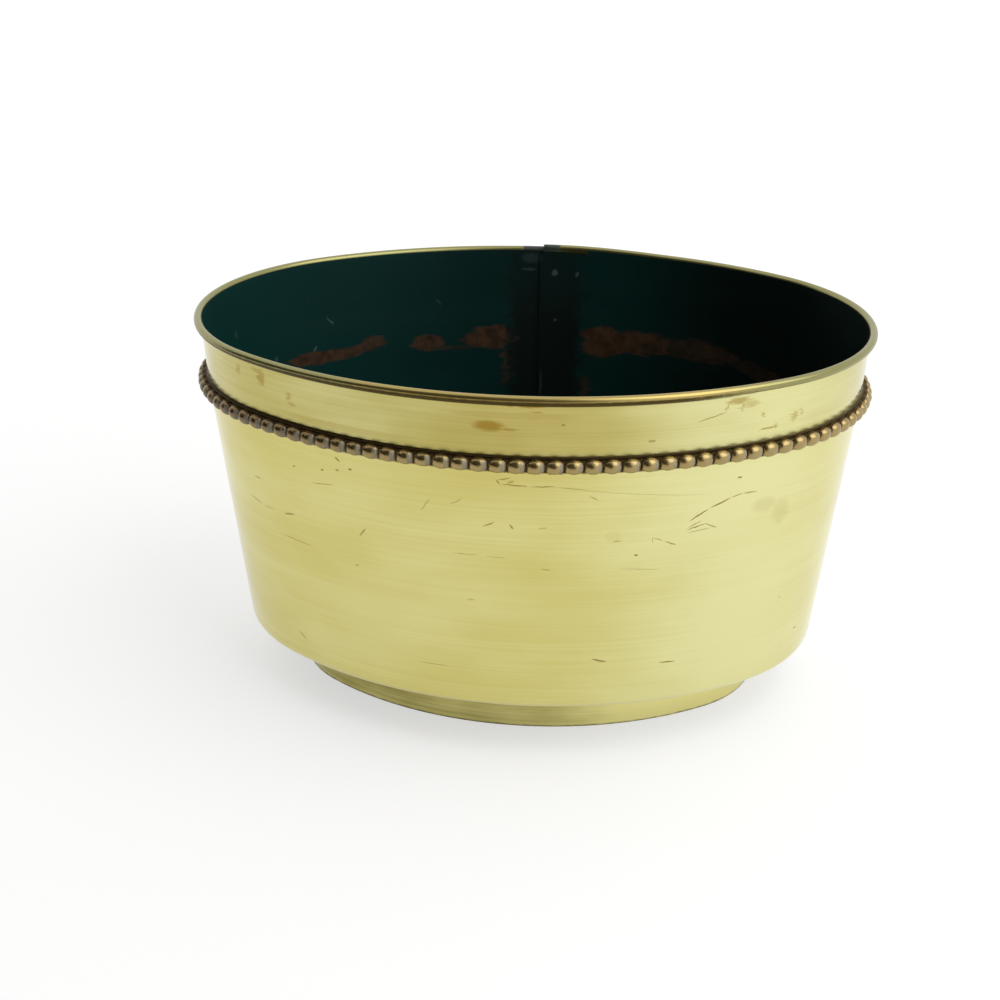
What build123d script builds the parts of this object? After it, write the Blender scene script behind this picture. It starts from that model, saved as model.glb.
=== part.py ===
from build123d import *

import math
import os
from dataclasses import dataclass

# Oval cachepot of brass sheet: a tapered wall with a wired rim, a beaded strip round it,
# a flat base and an inset foot ring, all joined with soft solder.
# Millimetres and degrees. The origin is the middle of the foot on the floor and +Z is up.
# X runs along the length, -Y is the front, and the side seam is at the back.

# Overall size, over the rolled rim.
overall_length = 239.0
overall_width = 182.0
overall_height = 135.5

# Wall sheet: a steep band above the beaded strip, a tapered body below it,
# and a rounded lower corner that turns in to a ledge for the base.
sheet_thickness = 0.5
band_depth = 21.8
band_draft = 3.5
body_draft = 6.6
corner_radius = 3.5
ledge_width = 9.0

# Rolled rim: the sheet curls outwards over a wire and stops short of the wall.
wire_diameter = 1.5
wire_clearance = 0.15
curl_end_angle = -115.0

# Side seam: one end of the sheet steps inwards and laps behind the other.
seam_shift = 3.3
seam_gap = 0.3
lap_width = 9.0
joggle_width = 2.0
seam_fillet_width = 1.2

# Beaded strip: a flat strip with a low ridge and a row of round beads.
bead_count = 110
bead_diameter = 4.9
bead_seat = 1.2
strip_height = 5.6
strip_thickness = 0.6
ridge_height = 3.4
ridge_thickness = 1.5

# Base plate and foot ring.
base_thickness = 0.8
base_clearance = 0.3
foot_height = 19.0
foot_inset = 20.0
foot_thickness = 0.9
foot_flare = 5.0

# Solder: a thin film in the laps, and fillets in the corners.
# A hair of clearance keeps each curved face of the solder off the metal beside it.
solder_film = 0.12
solder_clearance = 0.05
base_fillet = 2.4
foot_fillet = 2.0

# Heights and reaches that follow from the sizes above.
# A reach is measured outwards from the oval that runs through the middle of the rim.
wire_cavity_radius = wire_diameter / 2 + wire_clearance
roll_radius = wire_cavity_radius + sheet_thickness
rim_height = overall_height - roll_radius
bead_height = rim_height - band_depth
half_length = overall_length / 2 - roll_radius
half_width = overall_width / 2 - roll_radius
inner_corner_radius = corner_radius - sheet_thickness
base_bottom = foot_height + sheet_thickness
base_top = base_bottom + base_thickness
lap_gap = solder_film + 2 * solder_clearance

# Four tangent arcs make the oval: two long ones at the sides and two tight ones at the ends.
diagonal = math.hypot(half_length, half_width)
side_radius = (diagonal**2 + (half_length - half_width) * diagonal) / (2 * half_width)
end_radius = (diagonal**2 - (half_length - half_width) * diagonal) / (2 * half_length)
join_angle = math.degrees(math.atan2(half_length - end_radius, side_radius - half_width))
end_centre = Vector(half_length - end_radius, 0, 0)
side_centre = Vector(0, side_radius - half_width, 0)


@dataclass(frozen=True)
class OvalArc:
    """One arc of the oval, on the middle of the rim, running counter-clockwise seen from above."""

    centre: Vector
    radius: float
    start: float
    turn: float

    @property
    def section(self) -> Plane:
        """The plane square to the arc at its start: X is the reach, Y is the height."""
        outward = Vector(1, 0, 0).rotate(Axis.Z, self.start)
        return Plane(self.centre + outward * self.radius, outward, outward.cross(Vector(0, 0, 1)))

    @property
    def axis(self) -> Axis:
        """The upright line that the arc turns about."""
        return Axis(self.centre, Vector(0, 0, 1))

    def length(self, reach: float) -> float:
        """The arc's length at a reach."""
        return math.radians(self.turn) * (self.radius + reach)

    def place(self, reach: float, distance: float, height: float) -> Location:
        """The place at a distance along the arc, at a reach and a height, with X outwards."""
        angle = self.start + math.degrees(distance / (self.radius + reach))
        point = self.centre + Vector(self.radius + reach, 0, height).rotate(Axis.Z, angle)
        return Location(point, (0, 0, angle))


left_end = OvalArc(-end_centre, end_radius, 90 + join_angle, 180 - 2 * join_angle)
right_end = OvalArc(end_centre, end_radius, join_angle - 90, 180 - 2 * join_angle)
front_side = OvalArc(side_centre, side_radius, 270 - join_angle, 2 * join_angle)
back_side = OvalArc(-side_centre, side_radius, 90 - join_angle, 2 * join_angle)
closed_oval = [back_side, left_end, front_side, right_end]


def back_arc(first: float, last: float) -> OvalArc:
    """The stretch of the back side between two distances from its middle, towards -X."""
    start = 90 + math.degrees(first / side_radius)
    return OvalArc(-side_centre, side_radius, start, math.degrees((last - first) / side_radius))


half_side = back_side.length(0) / 2
seam_left = (seam_gap - 2 * seam_shift) / 2
seam_right = seam_left - seam_gap
open_oval = [
    back_arc(seam_left, half_side),
    left_end,
    front_side,
    right_end,
    back_arc(-half_side, seam_right),
]


def wall_reach(height: float, depth: float = 0) -> float:
    """The wall's reach at a height, at a depth in from its outer face."""
    bead_reach = -(wire_cavity_radius + depth) / math.cos(math.radians(band_draft))
    bead_reach -= band_depth * math.tan(math.radians(band_draft))
    draft = band_draft if height > bead_height else body_draft
    return bead_reach + (height - bead_height) * math.tan(math.radians(draft))


def corner_reach(height: float) -> float:
    """The reach of the rounded inner corner at a height above the ledge."""
    slope = math.radians(body_draft)
    centre_height = base_bottom + inner_corner_radius
    centre = wall_reach(centre_height, sheet_thickness) - inner_corner_radius / math.cos(slope)
    return centre + math.sqrt(inner_corner_radius**2 - (centre_height - height) ** 2)


def foot_reach(height: float, depth: float = 0) -> float:
    """The foot ring's reach at a height, at a depth in from its outer face."""
    return wall_reach(foot_height) - foot_inset - depth - height * math.tan(math.radians(foot_flare))


def wall_layer(low: float, high: float, outer: float, inner: float) -> list[tuple[float, float]]:
    """The outline of a layer that follows the wall between two heights and two depths."""
    heights = sorted({low, min(max(bead_height, low), high), high})
    outer_face = [(wall_reach(height, outer), height) for height in heights]
    inner_face = [(wall_reach(height, inner), height) for height in reversed(heights)]
    return outer_face + inner_face


# Wall sheet, with the curl at its top and the ledge at its foot.
curl_start = 180 - band_draft
curl_turn = curl_start - curl_end_angle
ledge_reach = wall_reach(foot_height) - ledge_width
tongue_low = base_top + base_fillet + base_clearance
tongue_outer = sheet_thickness + lap_gap
tongue_inner = tongue_outer + sheet_thickness
tongue_end = seam_right + lap_width

with BuildPart() as wall_sheet:
    for arc in open_oval:
        with BuildSketch(arc.section) as wall_section:
            with BuildLine():
                outer_curl = CenterArc((0, rim_height), roll_radius, curl_end_angle, curl_turn)
                inner_curl = CenterArc((0, rim_height), wire_cavity_radius, curl_end_angle, curl_turn)
                Line(outer_curl @ 0, inner_curl @ 0)
                Polyline(
                    inner_curl @ 1,
                    (wall_reach(bead_height), bead_height),
                    (wall_reach(foot_height), foot_height),
                    (ledge_reach, foot_height),
                    (ledge_reach, base_bottom),
                    (wall_reach(base_bottom, sheet_thickness), base_bottom),
                    (wall_reach(bead_height, sheet_thickness), bead_height),
                    outer_curl @ 1,
                )
            make_face()
            levels = wall_section.vertices().group_by(Axis.Y)
            fillet(levels[0].sort_by(Axis.X)[-1], corner_radius)
            levels = wall_section.vertices().filter_by_position(Axis.Y, base_bottom, base_bottom)
            fillet(levels.sort_by(Axis.X)[-1], inner_corner_radius)
        revolve(axis=arc.axis, revolution_arc=arc.turn)
    joggle = back_arc(seam_right - joggle_width, seam_right)
    tongue = back_arc(seam_right - joggle_width, tongue_end)
    for arc, outer in ((joggle, 0), (tongue, tongue_outer)):
        with BuildSketch(arc.section):
            with BuildLine():
                Polyline(*wall_layer(tongue_low, rim_height, outer, tongue_inner), close=True)
            make_face()
        revolve(axis=arc.axis, revolution_arc=arc.turn)

# Rim wire, inside the curl.
with BuildPart() as rim_wire:
    for arc in open_oval:
        with BuildSketch(arc.section):
            with Locations((0, rim_height)):
                Circle(wire_diameter / 2)
        revolve(axis=arc.axis, revolution_arc=arc.turn)

# Beaded strip, soldered round the wall where its slope changes.
strip_low = bead_height - strip_height / 2
strip_high = bead_height + strip_height / 2
ridge_low = bead_height - ridge_height / 2
ridge_high = bead_height + ridge_height / 2
bead_reach = wall_reach(bead_height) + bead_seat
bead_row = sum(arc.length(bead_reach) for arc in open_oval)


def bead_places() -> list[Location]:
    """The middles of the beads, evenly spaced from one end of the strip to the other."""
    places = []
    for bead in range(bead_count):
        distance = bead_row * (2 * bead + 1) / (2 * bead_count)
        for arc in open_oval:
            if distance <= arc.length(bead_reach):
                places.append(arc.place(bead_reach, distance, bead_height))
                break
            distance -= arc.length(bead_reach)
    return places


# One bead: a ball with a flat back, which lies in the middle of the strip's thickness.
bead_back = (lap_gap + strip_thickness) / 2 - bead_seat
with BuildPart() as bead_form:
    Sphere(bead_diameter / 2)
    split(bisect_by=Plane.YZ.offset(bead_back), keep=Keep.TOP)

with BuildPart() as beaded_strip:
    for arc in open_oval:
        with BuildSketch(arc.section):
            for low, high, thickness in (
                (strip_low, strip_high, strip_thickness),
                (ridge_low, ridge_high, ridge_thickness),
            ):
                with BuildLine():
                    Polyline(*wall_layer(low, high, -thickness, -lap_gap), close=True)
                make_face()
        revolve(axis=arc.axis, revolution_arc=arc.turn)
    with Locations(*bead_places()):
        add(bead_form.part)

# Base plate, resting on the ledge inside the wall.
base_reach = wall_reach(base_bottom, sheet_thickness) - inner_corner_radius - base_clearance
with BuildPart() as base_plate:
    with BuildSketch(Plane.XY.offset(base_bottom)):
        with BuildLine():
            for arc in closed_oval:
                CenterArc((arc.centre.X, arc.centre.Y), arc.radius + base_reach, arc.start, arc.turn)
        make_face()
    extrude(amount=base_thickness)

# Foot ring, a flared strip that stands under the base with its ends meeting at the back.
with BuildPart() as foot_ring:
    for arc in open_oval:
        with BuildSketch(arc.section):
            with BuildLine():
                Polyline(
                    (foot_reach(0), 0),
                    (foot_reach(base_bottom), base_bottom),
                    (foot_reach(base_bottom, foot_thickness), base_bottom),
                    (foot_reach(0, foot_thickness), 0),
                    close=True,
                )
            make_face()
        revolve(axis=arc.axis, revolution_arc=arc.turn)

# Solder film behind the beaded strip.
film_outer = solder_clearance - lap_gap
with BuildPart() as strip_solder:
    for arc in open_oval:
        with BuildSketch(arc.section):
            with BuildLine():
                Polyline(*wall_layer(strip_low, strip_high, film_outer, -solder_clearance), close=True)
            make_face()
        revolve(axis=arc.axis, revolution_arc=arc.turn)

# Solder of the side seam: a film behind the lap and a fillet along its free edge.
seam_top = rim_height - roll_radius
seam_outer = sheet_thickness + solder_clearance
seam_edge = tongue_end + solder_clearance
with BuildPart() as seam_solder:
    film = back_arc(seam_left, seam_edge)
    edge = back_arc(seam_edge, seam_edge + seam_fillet_width)
    for arc, inner in ((film, seam_outer + solder_film), (edge, tongue_inner)):
        with BuildSketch(arc.section):
            with BuildLine():
                Polyline(*wall_layer(tongue_low, seam_top, seam_outer, inner), close=True)
            make_face()
        revolve(axis=arc.axis, revolution_arc=arc.turn)

# Solder fillet inside the pot, between the base and the wall.
fillet_high = base_top + base_fillet
with BuildPart() as base_solder:
    for arc in closed_oval:
        with BuildSketch(arc.section):
            with BuildLine():
                Polyline(
                    (base_reach - base_fillet, base_top),
                    (corner_reach(base_top) - solder_clearance, base_top),
                    (corner_reach(fillet_high) - solder_clearance, fillet_high),
                    close=True,
                )
            make_face()
        revolve(axis=arc.axis, revolution_arc=arc.turn)

# Solder fillet under the base, inside the foot ring.
foot_joint = foot_thickness + solder_clearance
fillet_low = base_bottom - foot_fillet
with BuildPart() as foot_solder:
    for arc in closed_oval:
        with BuildSketch(arc.section):
            with BuildLine():
                Polyline(
                    (foot_reach(base_bottom, foot_joint), base_bottom),
                    (foot_reach(base_bottom, foot_joint + foot_fillet), base_bottom),
                    (foot_reach(fillet_low, foot_joint), fillet_low),
                    close=True,
                )
            make_face()
        revolve(axis=arc.axis, revolution_arc=arc.turn)

os.makedirs("parts", exist_ok=True)
pieces = {
    "wall_sheet": wall_sheet,
    "rim_wire": rim_wire,
    "beaded_strip": beaded_strip,
    "base_plate": base_plate,
    "foot_ring": foot_ring,
    "strip_solder": strip_solder,
    "seam_solder": seam_solder,
    "base_solder": base_solder,
    "foot_solder": foot_solder,
}
for name, piece in pieces.items():
    piece.part.label = name
    export_step(piece.part, f"parts/{name}.step")
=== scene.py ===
import logging
import math
import random
from dataclasses import dataclass, field
from enum import IntEnum
from typing import Any, Callable, Sequence

import bpy
from mathutils import Matrix, Vector


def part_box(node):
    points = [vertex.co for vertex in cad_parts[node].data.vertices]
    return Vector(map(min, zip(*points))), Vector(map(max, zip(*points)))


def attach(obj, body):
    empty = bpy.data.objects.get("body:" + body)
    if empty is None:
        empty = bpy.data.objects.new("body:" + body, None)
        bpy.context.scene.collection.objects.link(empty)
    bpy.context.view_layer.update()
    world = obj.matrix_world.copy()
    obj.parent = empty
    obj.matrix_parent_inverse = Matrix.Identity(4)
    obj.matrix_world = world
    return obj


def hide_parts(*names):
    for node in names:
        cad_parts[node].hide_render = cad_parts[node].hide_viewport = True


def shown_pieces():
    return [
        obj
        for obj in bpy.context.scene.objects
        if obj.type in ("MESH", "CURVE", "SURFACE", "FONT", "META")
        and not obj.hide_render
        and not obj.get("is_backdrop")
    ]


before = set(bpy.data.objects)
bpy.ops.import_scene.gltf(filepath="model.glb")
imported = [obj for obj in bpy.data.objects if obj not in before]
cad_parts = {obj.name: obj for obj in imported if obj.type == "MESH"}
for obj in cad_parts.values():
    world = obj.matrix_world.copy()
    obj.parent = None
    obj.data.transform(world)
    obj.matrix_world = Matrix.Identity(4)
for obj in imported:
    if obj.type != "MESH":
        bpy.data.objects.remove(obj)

log = logging.getLogger("cachepot")

MM = 0.001
MERGE_DISTANCE = 0.005 * MM
SMOOTH_ANGLE = math.radians(35)
Profile = list[tuple[float, float]]
Colour = tuple[float, float, float]
Size = float | tuple[float, ...]
Socket = bpy.types.NodeSocket


# Shapes: the oval, and the operators that draw a profile and carry it round.


@dataclass(frozen=True)
class Arc:
    """One arc of the oval through the middle of the rim, counter-clockwise seen from above."""

    centre: Vector
    radius: float
    start: float
    turn: float

    def outward(self, angle: float = 0.0) -> Vector:
        """The level direction out of the oval, at an angle past the arc's start."""
        return Vector((math.cos(self.start + angle), math.sin(self.start + angle), 0.0))

    def point(self, reach: float, height: float, angle: float = 0.0) -> Vector:
        """The point at a reach and a height, at an angle past the arc's start."""
        level = self.centre + self.outward(angle) * (self.radius + reach)
        return Vector((level.x, level.y, height))

    def length(self, reach: float) -> float:
        """The arc's length at a reach."""
        return self.turn * (self.radius + reach)


@dataclass(frozen=True)
class Oval:
    """The four-centred oval that every ring of the pot follows, with its seam at the back.

    A reach is measured outwards from the oval. Distances along the back run towards -X.
    """

    half_length: float
    half_width: float
    seam_left: float = -3.28 * MM
    seam_right: float = -3.32 * MM

    @property
    def diagonal(self) -> float:
        """The line from the end of the length to the end of the width."""
        return math.hypot(self.half_length, self.half_width)

    @property
    def side_radius(self) -> float:
        """The radius of the two long sides."""
        difference = self.half_length - self.half_width
        return (self.diagonal**2 + difference * self.diagonal) / (2 * self.half_width)

    @property
    def end_radius(self) -> float:
        """The radius of the two tight ends."""
        difference = self.half_length - self.half_width
        return (self.diagonal**2 - difference * self.diagonal) / (2 * self.half_length)

    @property
    def join(self) -> float:
        """The angle from the middle of a side to where it joins an end."""
        return math.atan2(self.half_length - self.end_radius, self.side_radius - self.half_width)

    def end(self, sign: int) -> Arc:
        """The end on the +X side or the -X side.

        Args:
            sign: 1 for the +X side, -1 for the -X side.

        Returns:
            The end's arc.
        """
        centre = Vector((sign * (self.half_length - self.end_radius), 0.0, 0.0))
        middle = 0.0 if sign > 0 else math.pi
        sweep = math.pi - 2 * self.join
        return Arc(centre, self.end_radius, middle - sweep / 2, sweep)

    def side(self, sign: int) -> Arc:
        """The back for +1, or the front for -1."""
        centre = Vector((0.0, -sign * (self.side_radius - self.half_width), 0.0))
        return Arc(centre, self.side_radius, sign * math.pi / 2 - self.join, 2 * self.join)

    def back(self, first: float, last: float) -> Arc:
        """The stretch of the back between two distances from its middle.

        Args:
            first: The distance where it starts.
            last: The distance where it ends.

        Returns:
            The stretch as an arc.
        """
        whole = self.side(1)
        start = math.pi / 2 + first / whole.radius
        return Arc(whole.centre, whole.radius, start, (last - first) / whole.radius)

    def open(self, *cuts: float) -> list[Arc]:
        """The oval from one edge of the seam round to the other, also cut at distances along the back.

        Args:
            cuts: The distances, in rising order.

        Returns:
            The arcs in turn.
        """
        half_side = self.side(1).length(0.0) / 2
        stops = [self.seam_left, *cuts, half_side]
        first = [self.back(start, end) for start, end in zip(stops, stops[1:])]
        last = self.back(-half_side, self.seam_right)
        return [*first, self.end(-1), self.side(-1), self.end(1), last]

    def nearest(self, point: Vector) -> Arc:
        """The arc that a point lies beside.

        Args:
            point: A point, whose height doesn't matter.

        Returns:
            An end, or a whole side.
        """
        end = self.end(1 if point.x > 0 else -1)
        offset = point - end.centre
        if abs(math.atan2(offset.y, abs(offset.x) * math.copysign(1, offset.x * point.x))) < end.turn / 2:
            return end
        return self.side(1 if point.y > 0 else -1)

    def outward(self, point: Vector) -> Vector:
        """The level direction out of the oval beside a point."""
        offset = point - self.nearest(point).centre
        return Vector((offset.x, offset.y, 0.0)).normalized()

    def reach(self, point: Vector) -> float:
        """A point's reach.

        Args:
            point: A point, whose height doesn't matter.

        Returns:
            The reach.
        """
        arc = self.nearest(point)
        offset = point - arc.centre
        return math.hypot(offset.x, offset.y) - arc.radius


def arc_points(centre: tuple[float, float], radius: float, first: float, last: float, count: int) -> Profile:
    """Points along an arc of a profile.

    Args:
        centre: The arc's centre, as a reach and a height.
        radius: The arc's radius.
        first: The angle of the first point.
        last: The angle of the last point.
        count: How many stretches the arc is divided into.

    Returns:
        The points, both ends among them.
    """
    angles = [first + (last - first) * step / count for step in range(count + 1)]
    return [(centre[0] + radius * math.cos(a), centre[1] + radius * math.sin(a)) for a in angles]


def clear_selection() -> None:
    """Leaves edit mode and deselects every object."""
    if bpy.context.object and bpy.context.object.mode != "OBJECT":
        bpy.ops.object.mode_set(mode="OBJECT")
    bpy.ops.object.select_all(action="DESELECT")


def activate(piece: bpy.types.Object) -> None:
    """Makes a piece the only selected object.

    Args:
        piece: The piece.
    """
    clear_selection()
    piece.select_set(True)
    bpy.context.view_layer.objects.active = piece


def sweep(name: str, profile: Profile, arcs: Sequence[Arc], facet: float) -> bpy.types.Object:
    """Draws a closed profile by extruding a point along it, and spins it round arc after arc.

    Args:
        name: The piece's name.
        profile: The corners of the profile as reaches and heights.
        arcs: The arcs in turn, each starting where the last one ends.
        facet: The greatest length of a facet along the arcs.

    Returns:
        The swept piece, with its ends still open.
    """
    clear_selection()
    points = [arcs[0].point(*corner) for corner in [*profile, profile[0]]]
    bpy.ops.mesh.primitive_plane_add(size=MM, location=points[0])
    piece = bpy.context.object
    piece.name = name
    bpy.ops.object.transform_apply(location=True, rotation=True, scale=True)
    bpy.ops.object.mode_set(mode="EDIT")
    bpy.ops.mesh.select_mode(type="VERT")
    bpy.ops.mesh.select_all(action="SELECT")
    bpy.ops.mesh.merge(type="CENTER")
    for last, point in zip(points, points[1:]):
        bpy.ops.mesh.extrude_region_move(TRANSFORM_OT_translate={"value": point - last})
    bpy.ops.mesh.select_all(action="SELECT")
    bpy.ops.mesh.remove_doubles(threshold=MERGE_DISTANCE)
    for arc in arcs:
        steps = max(1, math.ceil(arc.length(0.0) / facet))
        bpy.ops.mesh.spin(steps=steps, angle=-arc.turn, center=arc.centre, axis=(0.0, 0.0, 1.0))
    bpy.ops.object.mode_set(mode="OBJECT")
    return piece


def close_up(piece: bpy.types.Object) -> None:
    """Merges a piece's doubles, fills its open ends, turns its faces outwards and shades it smooth.

    Args:
        piece: The piece.
    """
    activate(piece)
    bpy.ops.object.mode_set(mode="EDIT")
    bpy.ops.mesh.select_all(action="SELECT")
    bpy.ops.mesh.remove_doubles(threshold=MERGE_DISTANCE)
    bpy.ops.mesh.fill_holes(sides=0)
    bpy.ops.mesh.select_all(action="SELECT")
    bpy.ops.mesh.normals_make_consistent(inside=False)
    bpy.ops.object.mode_set(mode="OBJECT")
    bpy.ops.object.shade_smooth_by_angle(angle=SMOOTH_ANGLE)


def join(pieces: Sequence[bpy.types.Object]) -> bpy.types.Object:
    """Joins pieces into the first of them.

    Args:
        pieces: The pieces.

    Returns:
        The first piece.
    """
    activate(pieces[0])
    for piece in pieces:
        piece.select_set(True)
    bpy.ops.object.join()
    return pieces[0]


def pick(piece: bpy.types.Object, test: Callable[[Vector], bool]) -> int:
    """Selects a piece's vertices by their place.

    Args:
        piece: The piece, in object mode.
        test: Says whether a vertex at a place is picked.

    Returns:
        How many vertices were picked.
    """
    mesh = piece.data
    mesh.polygons.foreach_set("select", [False] * len(mesh.polygons))
    mesh.edges.foreach_set("select", [False] * len(mesh.edges))
    picked = [test(vertex.co) for vertex in mesh.vertices]
    mesh.vertices.foreach_set("select", picked)
    return sum(picked)


# Finishes: shader sums written as Python expressions, and the node trees that they make.


class Value:
    """A number that varies over a surface, which takes part in Python's arithmetic."""

    def __init__(self, shade: "Shade", socket: Socket) -> None:
        """Wraps an output socket of a finish's node tree."""
        self.shade = shade
        self.socket = socket

    def __add__(self, other: "Value | float") -> "Value":
        """The sum."""
        return self.shade.math("ADD", self, other)

    def __sub__(self, other: "Value | float") -> "Value":
        """The difference."""
        return self.shade.math("SUBTRACT", self, other)

    def __rsub__(self, other: float) -> "Value":
        """The difference from a number."""
        return self.shade.math("SUBTRACT", other, self)

    def __mul__(self, other: "Value | float") -> "Value":
        """The product."""
        return self.shade.math("MULTIPLY", self, other)

    __radd__ = __add__
    __rmul__ = __mul__

    def __or__(self, other: "Value | float") -> "Value":
        """The greater of two, which lays one mask over another."""
        return self.shade.math("MAXIMUM", self, other)

    def ramp(self, start: float, end: float) -> "Value":
        """Goes smoothly from 0 at one number to 1 at another, which may be the lower one."""
        return self.shade.ramp(self, start, end)

    def band(self, low: float, high: float, soft: float) -> "Value":
        """Is 1 between two numbers and fades to 0 outside them."""
        return self.ramp(low - soft, low) * self.ramp(high + soft, high)


@dataclass(frozen=True)
class Mark:
    """A stain, smudge or scratch on the wall, in millimetres along X and up."""

    x: float
    z: float
    half_width: float
    half_height: float
    strength: float = 1.0
    tilt: float = 0.0


class Shade:
    """The node tree of one finish, with its places measured in millimetres."""

    def __init__(self, name: str) -> None:
        """Starts a material with an empty tree and the object's own coordinates."""
        self.material = bpy.data.materials.new(name)
        self.material.use_nodes = True
        self.tree = self.material.node_tree
        self.tree.nodes.clear()
        metres = self.node("ShaderNodeTexCoord").outputs["Object"]
        scale = self.node("ShaderNodeVectorMath", {"operation": "SCALE"}, {0: metres, "Scale": 1 / MM})
        self.place = scale.outputs[0]
        axes = self.node("ShaderNodeSeparateXYZ", {}, {0: self.place}).outputs
        self.x, self.y, self.z = (Value(self, axis) for axis in axes)

    def node(
        self, kind: str, settings: dict[str, Any] | None = None, inputs: dict[str | int, Any] | None = None
    ) -> bpy.types.Node:
        """Adds a node.

        Args:
            kind: The node's type.
            settings: The node's own settings, set before its sockets.
            inputs: A number, a colour, a socket or a Value for each socket that is set.

        Returns:
            The new node.
        """
        made = self.tree.nodes.new(kind)
        for name, setting in (settings or {}).items():
            setattr(made, name, setting)
        for key, given in (inputs or {}).items():
            given = given.socket if isinstance(given, Value) else given
            if isinstance(given, Socket):
                self.tree.links.new(given, made.inputs[key])
            else:
                made.inputs[key].default_value = given
        return made

    def math(self, operation: str, *terms: "Value | float") -> Value:
        """One step of arithmetic."""
        made = self.node("ShaderNodeMath", {"operation": operation}, dict(enumerate(terms)))
        return Value(self, made.outputs[0])

    def ramp(self, value: Value, start: float, end: float) -> Value:
        """A smooth step from 0 at one number to 1 at another.

        Args:
            value: The number that is stepped.
            start: Where the step is 0.
            end: Where the step is 1, which may be the lower one.

        Returns:
            The step.
        """
        settings = {"interpolation_type": "SMOOTHSTEP"}
        low, high = min(start, end), max(start, end)
        made = self.node("ShaderNodeMapRange", settings, {"Value": value, "From Min": low, "From Max": high})
        step = Value(self, made.outputs[0])
        return step if start < end else 1 - step

    def noise_node(self, size: Size, detail: float, rough: float, shift: float) -> bpy.types.Node:
        """A noise texture, described at noise.

        Args:
            size: The size of its blotches in millimetres, alike or along X, Y and up.
            detail: How many finer layers it has.
            rough: How strong the finer layers are.
            shift: Moves it, so that two of one size differ.

        Returns:
            The texture's node.
        """
        sizes = size if isinstance(size, tuple) else (size, size, size)
        scale = tuple(1 / each for each in sizes)
        inputs = {0: self.place, "Location": (shift, shift, shift), "Scale": scale}
        moved = self.node("ShaderNodeMapping", {"vector_type": "POINT"}, inputs)
        inputs = {"Vector": moved.outputs[0], "Scale": 1.0, "Detail": detail, "Roughness": rough}
        return self.node("ShaderNodeTexNoise", {}, inputs)

    def noise(self, size: Size, detail: float = 2.0, rough: float = 0.55, shift: float = 0.0) -> Value:
        """Soft random variation round 0.5.

        Args:
            size: The size of its blotches in millimetres, alike or along X, Y and up.
            detail: How many finer layers it has.
            rough: How strong the finer layers are.
            shift: Moves it, so that two of one size differ.

        Returns:
            The variation, from 0 to 1.
        """
        return Value(self, self.noise_node(size, detail, rough, shift).outputs[0])

    def wander(self, size: Size, along: float, up: float, shift: float = 0.0) -> Socket:
        """The place along X and up, moved about so that marks drawn from it have uneven edges.

        Args:
            size: The size of the unevenness in millimetres, alike or along X, Y and up.
            along: How far it moves a place along X.
            up: How far it moves a place up or down.
            shift: Moves the unevenness itself.

        Returns:
            The moved place, without Y.
        """
        colour = self.noise_node(size, 2.0, 0.6, shift).outputs[1]
        middle = {0: colour, 1: (0.5, 0.5, 0.5)}
        centred = self.node("ShaderNodeVectorMath", {"operation": "SUBTRACT"}, middle).outputs[0]
        level = {0: self.place, 1: (1.0, 0.0, 1.0)}
        flat = self.node("ShaderNodeVectorMath", {"operation": "MULTIPLY"}, level).outputs[0]
        moved = {0: centred, 1: (2 * along, 0.0, 2 * up), 2: flat}
        return self.node("ShaderNodeVectorMath", {"operation": "MULTIPLY_ADD"}, moved).outputs[0]

    def specks(self, spacing: float, radius: float, rough: Value, stretch: float = 1.0) -> Value:
        """Scattered small spots, ragged at their edges, and longer sideways where stretched.

        Args:
            spacing: The spots' spacing in millimetres.
            radius: A spot's radius in millimetres.
            rough: The variation that makes the edges ragged.
            stretch: How much longer they are sideways.

        Returns:
            How strong the spots are at each place.
        """
        inputs = {0: self.place, "Scale": (1 / spacing / stretch, 1 / spacing / stretch, 1 / spacing)}
        moved = self.node("ShaderNodeMapping", {"vector_type": "POINT"}, inputs)
        inputs = {"Vector": moved.outputs[0], "Scale": 1.0}
        spots = self.node("ShaderNodeTexVoronoi", {"feature": "F1"}, inputs)
        distance = Value(self, spots.outputs["Distance"]) + (rough - 0.5) * (radius / spacing)
        return distance.ramp(radius / spacing, 0.4 * radius / spacing)

    def marks(self, marks: Sequence[Mark], place: Socket, core: float = 0.35) -> Value:
        """All of a list of marks.

        Args:
            marks: The marks.
            place: The place that they are drawn from, without Y.
            core: How much of a mark is at full strength before it fades.

        Returns:
            How strong the marks are at each place.
        """
        total: Value | None = None
        for mark in marks:
            inputs = {
                0: place,
                "Location": (mark.x, 0.0, mark.z),
                "Rotation": (0.0, -math.radians(mark.tilt), 0.0),
                "Scale": (mark.half_width, 1.0, mark.half_height),
            }
            local = self.node("ShaderNodeMapping", {"vector_type": "TEXTURE"}, inputs).outputs[0]
            square = self.node("ShaderNodeVectorMath", {"operation": "DOT_PRODUCT"}, {0: local, 1: local})
            away = square.outputs["Value"]
            fade = {"Value": away, "From Min": core, "To Min": mark.strength, "To Max": 0.0}
            edge = self.node("ShaderNodeMapRange", {"interpolation_type": "SMOOTHSTEP"}, fade).outputs[0]
            total = Value(self, edge) if total is None else total | Value(self, edge)
        return total

    def mix(self, factor: "Value | float", first: Any, second: Any) -> Socket:
        """A colour between two colours, each a tuple or a socket.

        Args:
            factor: 0 for the first colour, 1 for the second.
            first: The first colour.
            second: The second colour.

        Returns:
            The colour.
        """
        first, second = ((*c, 1.0) if isinstance(c, tuple) else c for c in (first, second))
        made = self.node("ShaderNodeMix", {"data_type": "RGBA"}, {0: factor, 6: first, 7: second})
        return made.outputs[2]

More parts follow.
